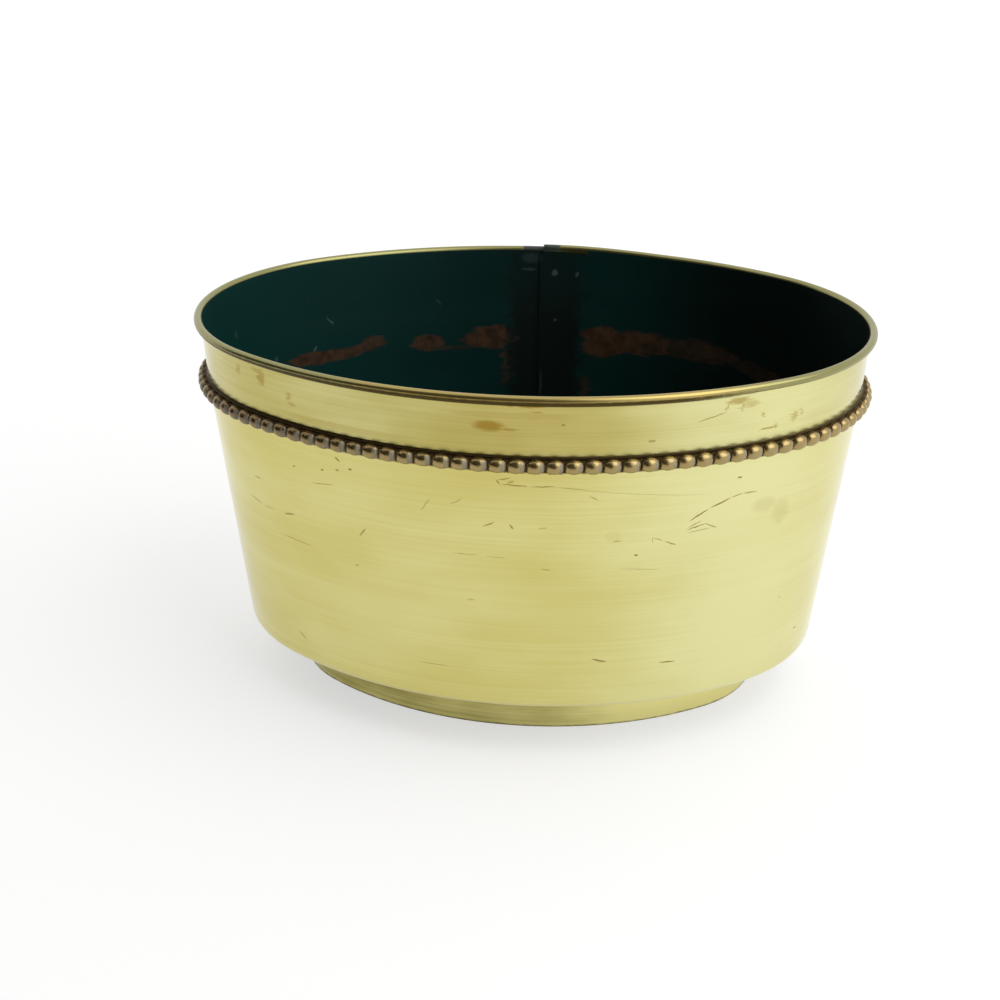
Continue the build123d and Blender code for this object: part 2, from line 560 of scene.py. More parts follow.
    def shine(self, factor: "Value | float", first: "Value | float", second: "Value | float") -> Value:
        """A number between two numbers."""
        return Value(self, self.node("ShaderNodeMix", {}, {0: factor, 2: first, 3: second}).outputs[0])

    def bump(self, height: Value, depth: float, under: Socket | None = None) -> Socket:
        """A relief whose height of 1 stands for a depth in millimetres, over another one.

        Args:
            height: The height at each place.
            depth: The depth in millimetres.
            under: The relief below it, if there is one.

        Returns:
            The relief, for a surface's normal.
        """
        inputs = {"Height": height, "Distance": depth * MM, "Strength": 1.0}
        if under is not None:
            inputs["Normal"] = under
        return self.node("ShaderNodeBump", {}, inputs).outputs[0]

    def finish(self, **sockets: Any) -> bpy.types.Material:
        """Ends the tree in one surface.

        Args:
            sockets: The surface's sockets by name, with _ for a space.

        Returns:
            The material.
        """
        inputs = {name.replace("_", " "): given for name, given in sockets.items()}
        surface = self.node("ShaderNodeBsdfPrincipled", {}, inputs)
        self.node("ShaderNodeOutputMaterial", {}, {"Surface": surface.outputs[0]})
        return self.material


@dataclass(frozen=True)
class PolishedBrass:
    """The wall's brass, polished round and round: lines, tarnished patches with painted light and shade
    across them, and the marks of long use.
    """

    wall: "Wall"
    fresh: Colour = (0.73, 0.71, 0.35)
    deep: Colour = (0.58, 0.50, 0.14)
    stain: Colour = (0.36, 0.25, 0.05)
    brown: Colour = (0.24, 0.16, 0.035)
    grime_and_shade_tone: Colour = (0.060, 0.036, 0.004)
    roughness: float = 0.14
    tarnish_and_shade: float = 0.6
    stains: tuple[Mark, ...] = ()
    scratches: tuple[Mark, ...] = ()

    def textures(self, shade: Shade) -> tuple[Value, Value, Value]:
        """Small unevenness, broad tarnish and polishing lines, alike all over the wall.

        Args:
            shade: The finish that is being made.

        Returns:
            The three in that order.
        """
        ragged = shade.noise(2.2, 2.0, 0.6)
        clouds = shade.noise((46, 46, 24), 2.0, 0.5, 7.0)
        lines = shade.noise((160, 160, 0.42), 1.0, 0.7, 11.0)
        return ragged, clouds, lines

    def ground(self, shade: Shade, ragged: Value, clouds: Value, lines: Value) -> Socket:
        """The colour of the metal with its tarnished patches, the painted light and shade across them, and
        its marks.

        Args:
            shade: The finish that is being made.
            ragged: Small unevenness.
            clouds: Broad tarnish.
            lines: Polishing lines.

        Returns:
            The colour.
        """
        x, front = shade.x, shade.y.ramp(6, -6)
        streaks = shade.noise((70, 70, 3.0), 2.0, 0.6, 3.0)
        # Painted light and shade: the tarnish thins towards +X, where the lamp lights the wall, and deepens
        # at the far +X edge as a painted dark reflection; clouds, streaks and lines are real tarnish.
        tarnish_and_shade = self.tarnish_and_shade - x.ramp(15, 80) * 0.5 + x.ramp(80, 112) * 0.4
        tarnish_and_shade = tarnish_and_shade + (clouds - 0.5) * 0.6 + (streaks - 0.5) * 0.2 + (lines - 0.5) * 0.2
        colour = shade.mix(tarnish_and_shade.ramp(0.0, 1.0), self.fresh, self.deep)
        stained = shade.marks(self.stains, shade.wander((4.0, 4.0, 0.6), 2.4, 0.8, 5.0), 0.1) * front
        colour = shade.mix(stained, colour, self.stain)
        scratched = shade.marks(self.scratches, shade.wander(1.6, 0.4, 0.3, 9.0)) * front
        worn = shade.specks(17.0, 0.5, ragged) * clouds.ramp(0.46, 0.56)
        dashes = shade.specks(24.0, 0.8, ragged, 5.0) * clouds.ramp(0.54, 0.44)
        return shade.mix((scratched * 0.9) | (worn * 0.6) | (dashes * 0.35), colour, self.brown)

    def relief(self, shade: Shade, clouds: Value, lines: Value) -> Socket:
        """The slight waviness of the sheet, with the polishing lines over it."""
        return shade.bump(lines, 0.006, shade.bump(clouds, 0.10))


@dataclass(frozen=True)
class BodyBrass(PolishedBrass):
    """The tapered body below the beads."""

    stains: tuple[Mark, ...] = (
        Mark(83.0, 91.2, 5.0, 3.6, 0.16),
        Mark(88.6, 87.0, 3.6, 6.0, 0.16),
        Mark(36.0, 86.0, 3.0, 3.4, 0.1),
    )
    scratches: tuple[Mark, ...] = (
        Mark(1.6, 107.0, 2.4, 0.26, 0.8, 13),
        Mark(-0.4, 105.9, 1.2, 0.26, 0.8, -60),
        Mark(4.8, 104.9, 5.0, 0.26, 0.9, -3),
        Mark(3.6, 106.0, 1.4, 0.5, 0.5, 20),
        Mark(13.7, 104.7, 4.6, 0.22, 0.9, 1),
        Mark(22.9, 104.1, 6.0, 0.16, 0.6, -6),
        Mark(62.3, 91.6, 4.0, 0.30, 1.0, 31),
        Mark(68.8, 94.9, 4.0, 0.32, 1.0, 22),
        Mark(74.0, 96.7, 2.2, 0.26, 0.8, 12),
        Mark(78.0, 96.9, 2.4, 0.36, 0.7, -4),
        Mark(61.7, 87.4, 3.8, 0.24, 0.9, 13),
        Mark(61.1, 88.4, 2.6, 0.22, 0.8, 28),
        Mark(66.2, 87.0, 2.5, 0.24, 0.8, -31),
        Mark(62.5, 85.8, 4.2, 0.20, 0.7, 6),
        Mark(49.7, 84.3, 2.2, 0.20, 0.6, -27),
        Mark(53.6, 82.4, 2.4, 0.28, 0.8, -24),
        Mark(48.0, 84.1, 1.3, 0.18, 0.5, -80),
        Mark(74.4, 103.2, 0.9, 0.4, 0.9),
        Mark(44.3, 73.6, 7.4, 0.16, 0.5, -6),
        Mark(14.7, 74.5, 1.8, 0.22, 0.6, -6),
        Mark(32.2, 38.8, 3.0, 0.36, 1.0, -18),
        Mark(54.4, 35.7, 3.0, 0.30, 1.0, -4),
        Mark(29.3, 100.6, 2.2, 0.24, 0.5, -33),
        Mark(41.2, 101.6, 27.0, 0.12, 0.5, -7),
        Mark(43.0, 79.0, 0.8, 0.4, 0.9),
        Mark(36.9, 84.7, 1.4, 0.3, 0.5),
        Mark(-88.5, 79.8, 3.2, 0.34, 0.55, -16),
        Mark(-82.8, 78.9, 2.8, 0.22, 0.5, -1),
        Mark(-74.2, 79.6, 2.4, 0.42, 0.8, 15),
        Mark(-72.0, 70.1, 7.2, 0.22, 0.6, -3),
        Mark(-46.2, 80.8, 2.4, 0.36, 0.7, 53),
        Mark(-60.1, 95.5, 5.0, 0.24, 0.6, 9),
        Mark(-23.9, 95.4, 3.2, 0.40, 0.35, 57),
        Mark(-13.6, 97.8, 2.6, 0.28, 0.5, 32),
        Mark(-3.5, 90.4, 2.4, 0.26, 0.9, 23),
        Mark(3.7, 90.0, 1.2, 0.36, 0.8, -54),
        Mark(13.7, 89.8, 2.0, 0.30, 0.4, 12),
        Mark(-11.2, 78.7, 5.0, 0.20, 0.5),
        Mark(-1.2, 78.4, 4.0, 0.16, 0.5, -1),
        Mark(-22.9, 33.9, 6.0, 0.20, 0.5, 1),
        Mark(-73.3, 30.4, 2.0, 0.3, 0.9, -34),
        Mark(-53.7, 106.1, 1.2, 0.42, 0.9, -40),
        Mark(-59.7, 100.8, 0.6, 0.4, 0.9),
        Mark(-54.0, 102.1, 0.7, 0.4, 0.9),
        Mark(-49.3, 103.4, 0.7, 0.5, 0.9),
        Mark(-70.5, 99.1, 0.6, 0.35, 0.9),
        Mark(-86.6, 89.2, 1.6, 0.4, 0.5),
        Mark(-9.7, 61.6, 1.6, 0.4, 0.35),
        Mark(-49.0, 67.4, 0.6, 0.4, 0.6),
        Mark(97.9, 33.9, 0.6, 0.5, 0.7),
    )

    def material(self) -> bpy.types.Material:
        """Makes the finish.

        Returns:
            The material.
        """
        shade = Shade("body_brass")
        bead = self.wall.bead_height / MM
        ragged, clouds, lines = self.textures(shade)
        colour = self.ground(shade, ragged, clouds, lines)
        # Grime and painted shade in patches just under the strip's lower edge.
        grime_and_shade = (shade.z + (ragged - 0.5) * 0.9).ramp(bead - 3.2, bead - 2.9) * ragged.ramp(0.5, 0.62) * 0.6
        colour = shade.mix(grime_and_shade, colour, self.grime_and_shade_tone)
        rough = self.roughness + (lines - 0.5) * 0.10 + (clouds - 0.5) * 0.10 + grime_and_shade * 0.3
        relief = self.relief(shade, clouds, lines)
        return shade.finish(Base_Color=colour, Metallic=1 - grime_and_shade * 0.5, Roughness=rough, Normal=relief)


@dataclass(frozen=True)
class BandBrass(PolishedBrass):
    """The band above the beads and the rolled rim, which is darkened underneath by grime and painted shade,
    and painted at the seam.
    """

    fresh: Colour = (0.71, 0.69, 0.34)
    deep: Colour = (0.41, 0.335, 0.07)
    gold: Colour = (0.43, 0.335, 0.115)
    olive: Colour = (0.29, 0.275, 0.115)
    paint: Colour = (0.010, 0.022, 0.024)
    stains: tuple[Mark, ...] = (
        Mark(-3.2, 124.8, 6.0, 2.3, 1.0),
        Mark(3.5, 123.9, 4.0, 0.5, 0.6),
        Mark(-81.2, 127.8, 2.0, 3.6, 0.75),
        Mark(-82.8, 130.2, 3.6, 1.1, 0.6),
        Mark(-90.8, 128.0, 1.1, 2.4, 0.55),
        Mark(-70.4, 124.4, 1.3, 2.0, 0.6),
        Mark(-69.6, 121.6, 1.6, 1.0, 0.55),
        Mark(72.4, 130.2, 4.6, 1.5, 0.7),
        Mark(76.2, 128.6, 3.4, 1.7, 0.4),
        Mark(69.0, 128.8, 0.5, 1.6, 0.6),
        Mark(73.4, 128.0, 0.5, 2.0, 0.6),
        Mark(80.2, 124.0, 0.35, 1.2, 0.9),
        Mark(82.0, 119.2, 3.2, 0.5, 0.8, 8),
        Mark(84.8, 119.4, 0.5, 1.2, 0.7, 14),
        Mark(90.4, 121.4, 1.3, 2.4, 0.5),
        Mark(92.6, 122.4, 0.7, 1.6, 0.4),
        Mark(10.1, 131.8, 5.4, 0.7, 0.9),
        Mark(11.3, 130.0, 2.4, 0.5, 0.7),
        Mark(3.4, 131.9, 2.0, 0.5, 0.8),
        Mark(-52.0, 118.0, 30.0, 1.4, 0.3),
        Mark(2.0, 128.6, 26.0, 1.4, 0.25),
    )
    scratches: tuple[Mark, ...] = (
        Mark(64.5, 125.8, 5.4, 0.26, 0.7, 15),
        Mark(19.6, 125.9, 0.8, 0.4, 0.7),
        Mark(46.5, 119.6, 1.4, 0.5, 0.6),
    )

    def material(self) -> bpy.types.Material:
        """Makes the finish: the band's colour, the roll's, grimy darkening and painted shade over both, and
        the paint.

        Returns:
            The material.
        """
        shade = Shade("band_brass")
        x, y, z = shade.x, shade.y, shade.z
        rim, roll_low = self.wall.rim_height / MM, (self.wall.rim_height - self.wall.roll_radius) / MM
        bead = self.wall.bead_height / MM
        ragged, clouds, lines = self.textures(shade)
        uneven = ragged - 0.5
        colour = self.ground(shade, ragged, clouds, lines)

        on_roll = z.ramp(roll_low - 0.1, roll_low + 0.3)
        # The roll is gold in the middle of the front, where it is rubbed and painted lighter, and olive
        # elsewhere, which is tarnish and a painted dark reflection.
        lit_and_rubbed = x.band(-25, 50, 45) * y.ramp(6, -6) + uneven * 0.4
        colour = shade.mix(on_roll, colour, shade.mix(lit_and_rubbed.ramp(0.0, 1.0), self.olive, self.gold))
        # Grime and painted shade along the underside of the roll and just below it, fading out towards +X.
        shady = (z + uneven * 0.4).ramp(rim + 0.15, rim - 0.35) * z.ramp(roll_low - 1.1, roll_low - 0.7)
        shady = shady * (x + uneven * 20).ramp(85, 55)
        # Grime and painted shade in a line just above the strip, wider towards -X.
        above = (z - x.ramp(0, -90) * 0.7 + uneven * 0.3).ramp(bead + 2.95, bead + 2.75)
        grime_and_shade = (shady | above) * 0.95
        colour = shade.mix(grime_and_shade, colour, self.grime_and_shade_tone)
        lapped = (x + uneven * 5).band(-13, 0, 1.5) * y.ramp(0, 10) * z.ramp(rim - 3, rim - 2)
        colour = shade.mix(lapped * 0.92, colour, self.paint)

        rough = self.roughness + (lines - 0.5) * 0.10 + (clouds - 0.5) * 0.10
        rough = shade.shine(on_roll | z.ramp(bead + 6, bead + 3.5), rough, 0.3)
        rough = shade.shine(grime_and_shade | lapped, rough, 0.45)
        metal = 1 - (lapped | (grime_and_shade * 0.15))
        relief = self.relief(shade, clouds, lines)
        return shade.finish(Base_Color=colour, Metallic=metal, Roughness=rough, Normal=relief)


@dataclass(frozen=True)
class GreenPaint:
    """The paint inside: dark green, flaked to its red-brown primer along an old waterline."""

    name: str = "green_paint"
    green: Colour = (0.003, 0.029, 0.025)
    dark: Colour = (0.003, 0.006, 0.005)
    primer: Colour = (0.062, 0.030, 0.014)
    pale: Colour = (0.10, 0.15, 0.15)
    flakes: tuple[Mark, ...] = (
        Mark(-90.0, 96.4, 11.0, 3.0, 1.0, -4),
        Mark(-76.0, 97.8, 10.0, 2.6, 0.9, 10),
        Mark(-71.0, 100.6, 3.4, 1.2, 0.7),
        Mark(-50.4, 97.2, 7.6, 3.8, 0.95),
        Mark(-26.0, 98.4, 12.0, 5.2, 1.0, 4),
        Mark(-40.0, 94.4, 9.0, 1.2, 0.4),
        Mark(-19.5, 86.0, 2.6, 9.0, 0.55),
        Mark(20.0, 98.0, 11.0, 7.0, 1.0),
        Mark(36.0, 99.6, 15.0, 5.4, 0.9),
        Mark(58.0, 99.6, 18.0, 4.6, 0.6),
        Mark(14.0, 79.0, 2.6, 6.0, 0.5),
        Mark(84.0, 96.0, 14.0, 3.6, 0.4, -8),
    )
    chips: tuple[Mark, ...] = (
        Mark(-87.0, 110.3, 2.6, 0.35, 0.8, -58),
        Mark(-92.0, 100.4, 1.2, 0.6, 0.7, 60),
        Mark(-113.5, 116.0, 0.16, 2.2, 0.5, 3),
        Mark(-113.0, 106.5, 0.16, 2.6, 0.7, 2),
        Mark(-47.0, 113.6, 2.2, 0.35, 0.35, -50),
        Mark(-104.0, 100.0, 0.8, 1.8, 0.3),
        Mark(-10.0, 131.0, 5.0, 2.6, 0.22),
        Mark(-11.0, 126.4, 3.6, 0.8, 0.3),
        Mark(-0.6, 125.5, 1.5, 1.5, 0.75),
        Mark(8.4, 125.0, 0.8, 1.5, 0.6, -14),
        Mark(0.0, 106.2, 0.9, 0.9, 0.5),
        Mark(-5.2, 80.0, 0.5, 7.0, 0.25),
    )

    def material(self) -> bpy.types.Material:
        """Makes the finish.

        Returns:
            The material.
        """
        shade = Shade(self.name)
        x, y, z = shade.x, shade.y, shade.z
        ragged = shade.noise(4.0, 3.0, 0.65)
        clouds = shade.noise((60, 60, 26), 2.0, 0.5, 4.0)
        strokes = shade.noise((50, 50, 1.6), 2.0, 0.6, 8.0)
        back = y.ramp(-6, 6)
        lit = 1.05 - x.ramp(-95, -30) * 0.42 - x.ramp(15, 80) * 0.40
        lit = lit + (clouds - 0.5) * 0.4 + (strokes - 0.5) * 0.12
        colour = shade.mix(lit.ramp(0.0, 1.0), self.dark, self.green)
        rest = (shade.noise((26, 26, 9), 3.0, 0.6, 21.0) + (z - 97).band(-5, 5, 6) * 0.12).ramp(0.66, 0.70)
        flaked = shade.marks(self.flakes, shade.wander((8.0, 8.0, 2.6), 5.0, 2.2, 13.0), 0.55) * back
        flaked = flaked | (rest * (1 - back))
        seam = (x + (ragged - 0.5) * 16).band(-15, 7, 7) * back * z.ramp(24, 32)
        flaked = flaked * (1 - seam * 0.85)
        primer = shade.mix(ragged.ramp(0.3, 0.7), self.primer, tuple(c * 0.4 for c in self.primer))
        colour = shade.mix(seam * (0.5 + z.ramp(125, 105) * 0.4), colour, self.dark)
        colour = shade.mix(flaked, colour, primer)
        chipped = shade.marks(self.chips, shade.wander(1.6, 0.7, 0.7, 17.0), 0.2) * back
        dust = shade.specks(9.0, 0.4, ragged) * clouds.ramp(0.5, 0.6)
        colour = shade.mix((chipped * 0.7) | (dust * 0.2), colour, self.pale)
        rough = 0.36 + (clouds - 0.5) * 0.2 + flaked * 0.3 + seam * 0.15
        relief = shade.bump(strokes * 0.2 + ragged * 0.3, 0.06)
        return shade.finish(Base_Color=colour, Roughness=rough, Normal=relief, Specular_IOR_Level=0.16)


@dataclass(frozen=True)
class AgedBrass:
    """The bead strip's brass: worn by rubbing on the beads, dark with old polish and painted shade between
    and above them, and in painted shade towards -X.
    """

    wall: "Wall"
    bright: Colour = (0.37, 0.28, 0.12)
    brown: Colour = (0.27, 0.18, 0.075)
    dull_and_shaded: Colour = (0.16, 0.105, 0.05)
    lip: Colour = (0.46, 0.38, 0.12)
    grime_and_shade_tone: Colour = (0.075, 0.046, 0.014)
    chalk: Colour = (0.36, 0.33, 0.25)
    roughness: float = 0.28

    def material(self) -> bpy.types.Material:
        """Makes the finish from how far a place stands out from the wall, and its side of a bead.

        Returns:
            The material.
        """
        shade = Shade("aged_brass")
        out = Value(shade, shade.node("ShaderNodeAttribute", {"attribute_name": "stands_out"}).outputs["Fac"])
        flank = Value(shade, shade.node("ShaderNodeAttribute", {"attribute_name": "flank"}).outputs["Fac"])
        up = shade.z - self.wall.bead_height / MM
        ragged = shade.noise(0.7, 2.0, 0.6)
        patches = shade.noise(7.0, 1.0, 0.5, 3.0)
        uneven = ragged - 0.5
        colour = shade.mix((out + uneven * 0.8).ramp(1.5, 3.0), self.brown, self.bright)
        # Dull tarnish and painted shade: the beads darken towards -X, away from the lamp.
        colour = shade.mix(shade.x.ramp(-15, -85) * 0.75, colour, self.dull_and_shaded)
        # Painted reflection of the floor: the lower lip is paler, except towards -X.
        low = (up + uneven * 0.4).ramp(-1.7, -2.1)
        colour = shade.mix(low * shade.x.ramp(-85, -20), colour, self.lip)
        # Old polish and painted shade: darker in the grooves, the webs between the beads and the line above
        # them; the specks on the lower lip are real dirt.
        crevice = (out + uneven * 0.4).ramp(2.0, 1.8) * (1 - low * 0.85)
        top = (up + uneven * 0.5).ramp(1.9, 2.3) * out.ramp(2.0, 1.3)
        specks = low * (ragged + patches * 0.3).ramp(0.72, 0.8)
        grime_and_shade = (crevice * 0.95) | (top * 0.95) | (specks * 0.8)
        colour = shade.mix(grime_and_shade, colour, self.grime_and_shade_tone)
        wiped = flank.ramp(0.30, 0.62) * (ragged + patches * 0.5).ramp(0.52, 0.72) * up.ramp(2.0, 1.2)
        colour = shade.mix(wiped * 0.8, colour, self.chalk)
        rough = self.roughness + grime_and_shade * 0.35 + wiped * 0.3 + uneven * 0.14
        relief = shade.bump(ragged, 0.05)
        metal = 1 - ((grime_and_shade * 0.2) | (wiped * 0.7))
        return shade.finish(Base_Color=colour, Metallic=metal, Roughness=rough, Normal=relief)


@dataclass(frozen=True)
class FootBrass:
    """The foot's brass, seldom polished: olive, with painted shade up under the pot and towards -X."""

    high: float
    olive: Colour = (0.76, 0.70, 0.28)
    deep: Colour = (0.25, 0.21, 0.05)
    brown: Colour = (0.10, 0.065, 0.02)
    roughness: float = 0.2

    def material(self) -> bpy.types.Material:
        """Makes the finish.

        Returns:
            The material.
        """
        shade = Shade("foot_brass")
        ragged = shade.noise(2.6, 4.0, 0.6)
        clouds = shade.noise((34, 34, 9), 3.0, 0.5, 6.0)
        lines = shade.noise((120, 120, 0.5), 3.0, 0.7, 2.0)
        # Tarnish and painted shade: darker towards -X and up under the pot, paler towards +X near the lamp.
        dull_and_shaded = 0.55 - shade.x.ramp(0, 60) * 0.6 + (clouds - 0.5) * 0.8 + (lines - 0.5) * 0.4
        dull_and_shaded = dull_and_shaded + shade.z.ramp(6, self.high / MM) * 0.25
        colour = shade.mix(dull_and_shaded.ramp(0.0, 0.9), self.olive, self.deep)
        # Scuffs and painted shade: darker brown along the bottom edge, where the foot meets the floor.
        edge = (shade.z + (ragged - 0.5) * 1.1).ramp(0.9, 0.2)
        spots = shade.specks(13.0, 0.6, ragged) * clouds.ramp(0.45, 0.6)
        colour = shade.mix((edge * 0.75) | (spots * 0.7), colour, self.brown)
        rough = self.roughness + (lines - 0.5) * 0.14 + edge * 0.25
        relief = shade.bump(clouds + ragged * 0.05, 0.09)
        return shade.finish(Base_Color=colour, Metallic=1 - edge * 0.4, Roughness=rough, Normal=relief)


@dataclass(frozen=True)
class SoftSolder:
    """Dull grey solder, lumpy and stained with flux."""

    grey: Colour = (0.36, 0.35, 0.32)
    stained: Colour = (0.13, 0.11, 0.07)

    def material(self) -> bpy.types.Material:
        """Makes the finish.

        Returns:
            The material.
        """
        shade = Shade("soft_solder")
        lumps = shade.noise(1.6, 3.0, 0.6)
        flux = shade.noise(9.0, 3.0, 0.6, 5.0)
        colour = shade.mix(flux.ramp(0.4, 0.7), self.grey, self.stained)
        rough = 0.38 + (lumps - 0.5) * 0.2
        return shade.finish(Base_Color=colour, Metallic=1.0, Roughness=rough, Normal=shade.bump(lumps, 0.15))


@dataclass(frozen=True)
class WireSteel:
    """The wire in the rim, tinned and spotted with rust."""

    tin: Colour = (0.42, 0.41, 0.39)
    rust: Colour = (0.16, 0.065, 0.025)

    def material(self) -> bpy.types.Material:
        """Makes the finish.

        Returns:
            The material.
        """
        shade = Shade("wire_steel")
        spots = shade.noise(2.0, 4.0, 0.65)
        rusted = spots.ramp(0.5, 0.62)
        colour = shade.mix(rusted, self.tin, self.rust)
        rough = 0.35 + rusted * 0.4
        relief = shade.bump(spots, 0.03)
        return shade.finish(Base_Color=colour, Metallic=1 - rusted, Roughness=rough, Normal=relief)


# The pot's own pieces.


@dataclass(frozen=True)
class Wall:
    """The wall sheet's profile: a steep band above the beads and a tapered body below them."""

    overall_height: float
    sheet: float = 0.5 * MM
    band_depth: float = 21.8 * MM
    band_draft: float = math.radians(3.5)
    body_draft: float = math.radians(6.6)
    corner_radius: float = 3.5 * MM
    ledge_width: float = 9.0 * MM
    foot_height: float = 19.0 * MM
    cavity_radius: float = 0.9 * MM
    curl_end: float = math.radians(-115)

    @property
    def roll_radius(self) -> float:
        """The radius of the rolled rim."""
        return self.cavity_radius + self.sheet

    @property
    def rim_height(self) -> float:
        """The height of the middle of the rolled rim."""
        return self.overall_height - self.roll_radius

    @property
    def bead_height(self) -> float:
        """The height of the bead row, where the slope of the wall changes."""
        return self.rim_height - self.band_depth

    @property
    def base_bottom(self) -> float:
        """The height of the ledge that the base rests on."""
        return self.foot_height + self.sheet

    def reach(self, height: float, depth: float = 0.0) -> float:
        """The wall's reach at a height, at a depth in from its outer face.

        Args:
            height: The height.
            depth: The depth, which is negative in front of the face.

        Returns:
            The reach.
        """
        at_bead = -(self.cavity_radius + depth) / math.cos(self.band_draft)
        at_bead -= self.band_depth * math.tan(self.band_draft)
        draft = self.band_draft if height > self.bead_height else self.body_draft
        return at_bead + (height - self.bead_height) * math.tan(draft)

    def corner(self, radius: float, depth: float, low: float, count: int) -> Profile:
        """The rounded lower corner, from the ledge up to the body.

        Args:
            radius: The corner's radius.
            depth: The face's depth in from the outer face.
            low: The height of the ledge.
            count: How many stretches it is divided into.

        Returns:
            The corner's points.
        """
        height = low + radius
        centre = (self.reach(height, depth) - radius / math.cos(self.body_draft), height)
        return arc_points(centre, radius, -math.pi / 2, -self.body_draft, count)

    def face(self, depth: float, low: float, high: float, support: float) -> Profile:
        """The straight stretches of one face, with a row of points close to each bend."""
        heights = [low + support, self.bead_height - support, self.bead_height + support, high - support]
        return [(self.reach(height, depth), height) for height in heights]


class WallFace(IntEnum):
    """The wall's finishes, in the order of its material slots."""

    BAND = 0
    BODY = 1
    PAINT = 2


@dataclass
class WallSheet:
    """The wall: one sheet, curled over a wire at the rim and lapped at the back."""

    oval: Oval
    wall: Wall
    facet: float = 2.4 * MM
    corner_steps: int = 7
    curl_steps: int = 26
    support: float = 1.6 * MM
    lap_gap: float = 0.22 * MM
    lap_width: float = 9.0 * MM
    joggle_width: float = 2.0 * MM
    lap_low: float = 23.0 * MM
    wire_diameter: float = 1.5 * MM
    wire_steps: int = 12
    seam_lift: float = 0.8 * MM
    step_place: float = 5.3 * MM
    step_width: float = 0.25 * MM
    lift_spread: float = 45.0 * MM
    edge_facing: float = 0.5
    pieces: dict[str, bpy.types.Object] = field(default_factory=dict)

    def profile(self) -> Profile:
        """The sheet's section, up its outer face, round the curl and down its inner face.

        Returns:
            The section's corners.
        """
        wall = self.wall
        ledge_reach = wall.reach(wall.foot_height) - wall.ledge_width
        rim = (0.0, wall.rim_height)
        curl_start = math.pi - wall.band_draft
        outer = wall.corner(wall.corner_radius, 0.0, wall.foot_height, self.corner_steps)
        inner_radius = wall.corner_radius - wall.sheet
        inner = wall.corner(inner_radius, wall.sheet, wall.base_bottom, self.corner_steps)
        inner_curl = arc_points(rim, wall.cavity_radius, curl_start, wall.curl_end, self.curl_steps)
        outer_curl = arc_points(rim, wall.roll_radius, wall.curl_end, curl_start, self.curl_steps)
        outer_face = wall.face(0.0, outer[-1][1], inner_curl[0][1], self.support)
        inner_face = wall.face(wall.sheet, inner[-1][1], outer_curl[-1][1], self.support)
        section = [(ledge_reach, wall.foot_height), *outer, *outer_face, *inner_curl]
        section += [*outer_curl, *reversed(inner_face), *reversed(inner), (ledge_reach, wall.base_bottom)]
        return section

    def lap(self) -> bpy.types.Object:
        """The end of the sheet that laps behind the other one inside the pot.

        Returns:
            The lap, with its ends still open.
        """
        wall = self.wall
        first = self.oval.seam_right - self.joggle_width
        arc = self.oval.back(first, self.oval.seam_right + self.lap_width)
        outer = wall.sheet + self.lap_gap
        inner = outer + wall.sheet
        heights = [self.lap_low, wall.bead_height, wall.rim_height]
        section = [(wall.reach(height, outer), height) for height in heights]
        section += [(wall.reach(height, inner), height) for height in reversed(heights)]
        return sweep("seam_lap", section, [arc], self.facet)

    def arcs(self) -> list[Arc]:
        """The oval from seam to seam, cut close together where the rim steps up."""
        return self.oval.open(self.step_place, self.step_place + self.step_width)

    def lift_seam(self, piece: bpy.types.Object) -> None:
        """Raises the rim from its step towards +X, where the two ends of the sheet don't quite meet.

        Args:
            piece: The wall or the wire in its rim.
        """
        wall = self.wall
        middle = (self.oval.seam_left + self.oval.seam_right) / 2
        joint = self.oval.back(middle, middle).outward().x
        step = self.oval.back(self.step_place, self.step_place).outward().x
        low = wall.rim_height - 2 * wall.roll_radius
        near = self.step_width / 2 / self.oval.side_radius

        def on_right_end(place: Vector) -> bool:
            """Whether a place is on the rim's end on the +X side."""
            return place.y > 0 and joint < self.oval.outward(place).x < joint + near and place.z > low

        def on_left_end(place: Vector) -> bool:
            """Whether a place is on the rim between its step and its end on the -X side."""
            return place.y > 0 and step - near < self.oval.outward(place).x < joint and place.z > low

        for test, spread in ((on_right_end, True), (on_left_end, False)):
            activate(piece)
            picked = pick(piece, test)
            bpy.ops.object.mode_set(mode="EDIT")
            bpy.ops.transform.translate(
                value=(0.0, 0.0, self.seam_lift),
                use_proportional_edit=spread,
                use_proportional_connected=spread,
                proportional_edit_falloff="SMOOTH",
                proportional_size=self.lift_spread,
            )
            bpy.ops.object.mode_set(mode="OBJECT")
            log.info("%s: %d rim points raised at the seam", piece.name, picked)

    def lay_out(self, piece: bpy.types.Object) -> None:
        """Divides the faces among the finishes: the band and rim, the body, and the paint inside.

        Args:
            piece: The wall, with its material slots filled.
        """
        wall = self.wall
        for face in piece.data.polygons:
            height = face.center.z
            facing = face.normal.dot(self.oval.outward(face.center))
            inward = facing < 0 or (facing < self.edge_facing and height > self.lap_low)
            inside = self.oval.reach(face.center) < wall.reach(height, wall.sheet / 2)
            face.material_index = WallFace.BODY if height < wall.bead_height else WallFace.BAND
            if inward and inside and height < wall.rim_height:
                face.material_index = WallFace.PAINT

    def build(self) -> None:
        """Builds the wall and the wire in its rim."""
        sheet = sweep("pot_wall", self.profile(), self.arcs(), self.facet)
        lap = self.lap()
        close_up(sheet)
        close_up(lap)
        self.lift_seam(sheet)
        sheet = join([sheet, lap])
        rim = (0.0, self.wall.rim_height)
        section = arc_points(rim, self.wire_diameter / 2, 0.0, 2 * math.pi, self.wire_steps)[:-1]
        wire = sweep("rim_core", section, self.arcs(), self.facet)
        close_up(wire)
        self.lift_seam(wire)
        self.pieces = {"wall": sheet, "wire": wire}

